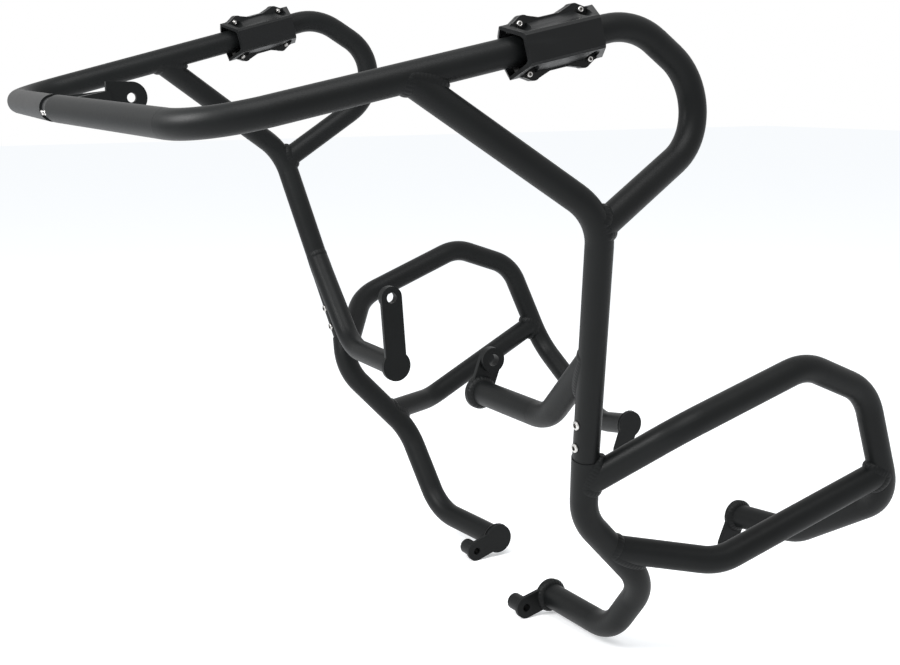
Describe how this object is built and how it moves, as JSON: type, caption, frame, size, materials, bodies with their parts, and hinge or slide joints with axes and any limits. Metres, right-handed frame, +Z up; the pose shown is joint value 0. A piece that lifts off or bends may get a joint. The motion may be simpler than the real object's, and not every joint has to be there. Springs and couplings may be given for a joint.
{
  "type": "motorcycle crash bars",
  "caption": "Black tubular crash bars for a motorcycle: left and right welded frames joined in front, with clamped pads, bolted arms, loops, braces and feet.",
  "frame": {"origin": "centre of the hole in the front bracket's tongue", "axes": "+X rearward along the motorcycle, +Y to the motorcycle's right, +Z up"},
  "size_m": [0.7929, 0.7104, 0.6654],
  "materials": {
    "tube": "matt black powder coat on steel tube and plate",
    "plug": "satin black on turned steel",
    "screws": "plain stainless",
    "pad": "satin moulded black plastic"
  },
  "bodies": {
    "root": {"left_rail": "tube", "left_diagonal": "tube", "left_arm": "tube", "left_arm_plate": "tube", "left_plug": "plug", "left_sleeve_screws": "screws", "left_lower_tube": "tube", "left_foot_plate": "tube", "left_foot_spacer": "tube", "left_loop": "tube", "left_loop_plate": "tube", "left_brace": "tube", "left_pad_outer": "pad", "left_pad_inner": "pad", "left_pad_screws": "screws", "left_pad_nuts": "screws", "right_rail": "tube", "right_diagonal": "tube", "right_arm": "tube", "right_arm_plate": "tube", "right_plug": "plug", "right_sleeve_screws": "screws", "right_lower_tube": "tube", "right_foot_plate": "tube", "right_foot_spacer": "tube", "right_loop": "tube", "right_loop_plate": "tube", "right_brace": "tube", "right_pad_outer": "pad", "right_pad_inner": "pad", "right_pad_screws": "screws", "right_pad_nuts": "screws", "joiner": "plug", "joiner_screws": "screws", "front_bracket": "tube"}
  },
  "joints": []
}
